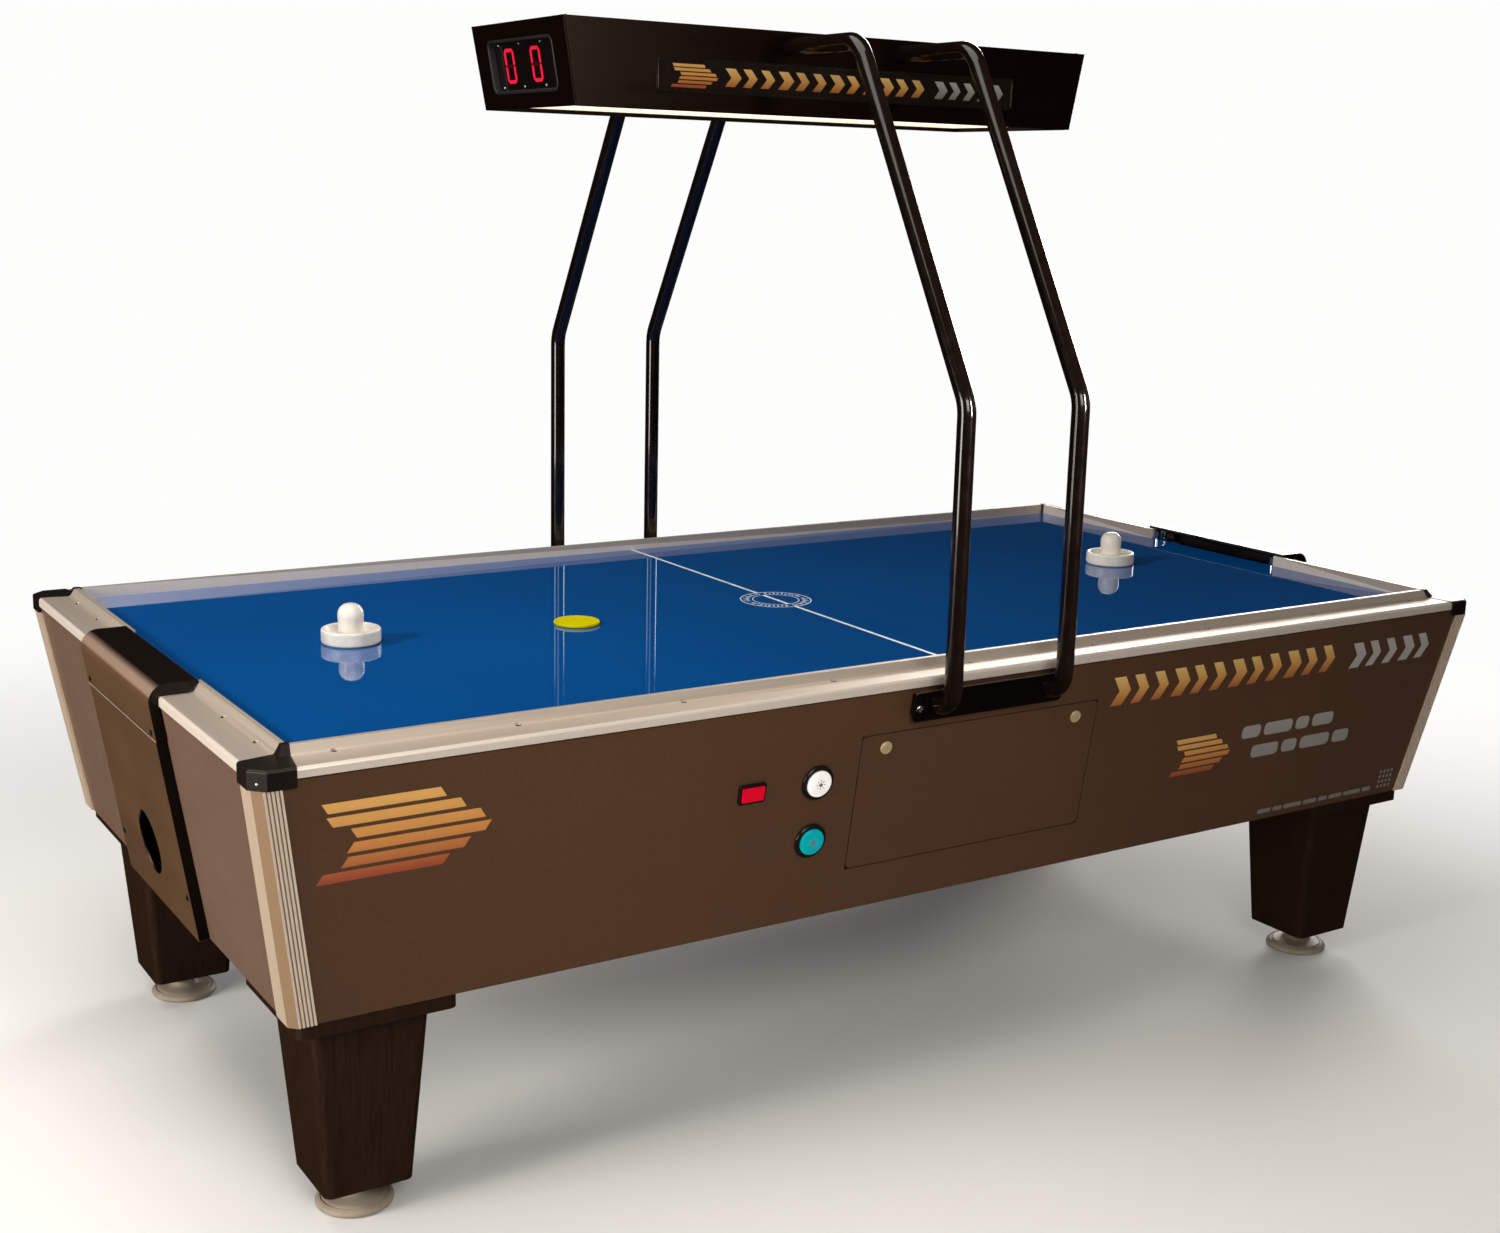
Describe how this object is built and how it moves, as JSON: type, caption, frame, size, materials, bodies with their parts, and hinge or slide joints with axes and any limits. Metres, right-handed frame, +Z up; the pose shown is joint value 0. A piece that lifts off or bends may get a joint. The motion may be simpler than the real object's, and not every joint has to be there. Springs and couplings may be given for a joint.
{
  "type": "air hockey table",
  "caption": "Full-size air hockey table with slanted cabinet, metal rails, hooded goals, overhead score light on bent tube arms, mallets and puck.",
  "frame": {"origin": "on the floor under the centre of the table", "axes": "+Z up, +X along the length, +Y from the control side towards the rear side"},
  "size_m": [2.521, 1.436, 1.8041],
  "materials": {
    "laminate": "satin dark laminate",
    "board": "plain board",
    "play_laminate": "gloss blue laminate",
    "aluminium": "anodised satin",
    "black_moulding": "moulded, slight gloss",
    "black_steel": "gloss powder coat",
    "black_sheet": "gloss sheet",
    "leg_black": "satin moulded",
    "foot_pad": "matte",
    "polished": "polished",
    "canopy_laminate": "satin black laminate",
    "diffuser": "translucent",
    "lamp_white": "frosted tube",
    "lamp_violet": "dark violet tube",
    "white_plastic": "gloss",
    "puck_yellow": "satin",
    "red_plastic": "gloss",
    "teal_plastic": "gloss",
    "display": "dark filter",
    "sign": "printed plate",
    "screw_metal": "plated",
    "lock_brass": "polished",
    "zinc": "galvanised"
  },
  "bodies": {
    "table": {"front_panel": "laminate", "rear_panel": "laminate", "left_end_panel": "laminate", "right_end_panel": "laminate", "cabinet_floor": "board", "front_rail": "aluminium", "rear_rail": "aluminium", "left_end_rails": "aluminium", "right_end_rails": "aluminium", "rail_screws": "screw_metal", "corner_caps": "black_moulding", "corner_trims": "aluminium", "playfield": "play_laminate", "plenum_base": "board", "plenum_frame": "board", "blower_housing": "zinc", "blower_motor": "black_steel", "power_inlet": "black_moulding", "left_goal_cover": "black_sheet", "left_goal_box": "black_sheet", "right_goal_cover": "black_sheet", "right_goal_box": "black_sheet", "puck_chutes": "zinc", "goal_posts": "polished", "black_screws": "black_steel", "leg_platforms": "leg_black", "front_light_bracket": "black_steel", "rear_light_bracket": "black_steel", "canopy_long_panels": "canopy_laminate", "canopy_end_panels": "canopy_laminate", "score_displays": "display", "canopy_top": "canopy_laminate", "canopy_diffuser": "diffuser", "white_lamp": "lamp_white", "black_lamp": "lamp_violet", "lamp_holders": "white_plastic", "canopy_signs": "sign", "button_bezels": "black_moulding", "front_left_leg": "leg_black", "front_left_light_arm": "black_steel", "front_right_leg": "leg_black", "front_right_light_arm": "black_steel", "rear_left_leg": "leg_black", "rear_left_light_arm": "black_steel", "rear_right_leg": "leg_black", "rear_right_light_arm": "black_steel"},
    "service_door": {"service_door": "laminate"},
    "left_door_lock": {"left_door_lock": "lock_brass"},
    "right_door_lock": {"right_door_lock": "lock_brass"},
    "white_light_button": {"white_light_button": "white_plastic"},
    "black_light_button": {"black_light_button": "teal_plastic"},
    "start_button": {"start_button": "red_plastic"},
    "left_mallet": {"left_mallet": "white_plastic"},
    "right_mallet": {"right_mallet": "white_plastic"},
    "puck": {"puck": "puck_yellow"},
    "blower_impeller": {"blower_impeller": "zinc"},
    "front_left_leveler": {"front_left_leveler": "foot_pad"},
    "front_right_leveler": {"front_right_leveler": "foot_pad"},
    "rear_left_leveler": {"rear_left_leveler": "foot_pad"},
    "rear_right_leveler": {"rear_right_leveler": "foot_pad"}
  },
  "joints": [
    {"name": "door_hinge", "type": "hinge", "parent": "table", "child": "service_door", "pos_m": [0.0125, -0.59331, 0.44375], "axis": [1, 0, 0], "range_deg": [0, 80]},
    {"name": "left_lock_turn", "type": "hinge", "parent": "service_door", "child": "left_door_lock", "pos_m": [-0.1915, -0.62715, 0.65506], "axis": [0, -0.9874, -0.1582], "range_deg": [0, 90]},
    {"name": "right_lock_turn", "type": "hinge", "parent": "service_door", "child": "right_door_lock", "pos_m": [0.2165, -0.62715, 0.65506], "axis": [0, -0.9874, -0.1582], "range_deg": [-90, 0]},
    {"name": "start_press", "type": "slide", "parent": "table", "child": "start_button", "axis": [0, 0.9874, 0.1582], "range_m": [0, 0.003], "stiffness_N_per_m": 900},
    {"name": "white_light_press", "type": "slide", "parent": "table", "child": "white_light_button", "axis": [0, 0.9874, 0.1582], "range_m": [0, 0.0035], "stiffness_N_per_m": 900},
    {"name": "black_light_press", "type": "slide", "parent": "table", "child": "black_light_button", "axis": [0, 0.9874, 0.1582], "range_m": [0, 0.0035], "stiffness_N_per_m": 900},
    {"name": "blower_spin", "type": "hinge", "parent": "table", "child": "blower_impeller", "pos_m": [0, 0, 0.6], "axis": [0, 0, 1], "continuous": true},
    {"name": "left_mallet_slide", "type": "slide", "parent": "table", "child": "left_mallet", "axis": [1, 0, 0], "range_m": [-0.265, 0.231]},
    {"name": "right_mallet_slide", "type": "slide", "parent": "table", "child": "right_mallet", "axis": [1, 0, 0], "range_m": [-0.246, 0.25]},
    {"name": "puck_glide", "type": "slide", "parent": "table", "child": "puck", "axis": [1, 0, 0], "range_m": [-0.084, 0.966]},
    {"name": "front_left_level", "type": "slide", "parent": "table", "child": "front_left_leveler", "axis": [0, 0, -1], "range_m": [0, 0.02]},
    {"name": "front_right_level", "type": "slide", "parent": "table", "child": "front_right_leveler", "axis": [0, 0, -1], "range_m": [0, 0.02]},
    {"name": "rear_left_level", "type": "slide", "parent": "table", "child": "rear_left_leveler", "axis": [0, 0, -1], "range_m": [0, 0.02]},
    {"name": "rear_right_level", "type": "slide", "parent": "table", "child": "rear_right_leveler", "axis": [0, 0, -1], "range_m": [0, 0.02]}
  ]
}
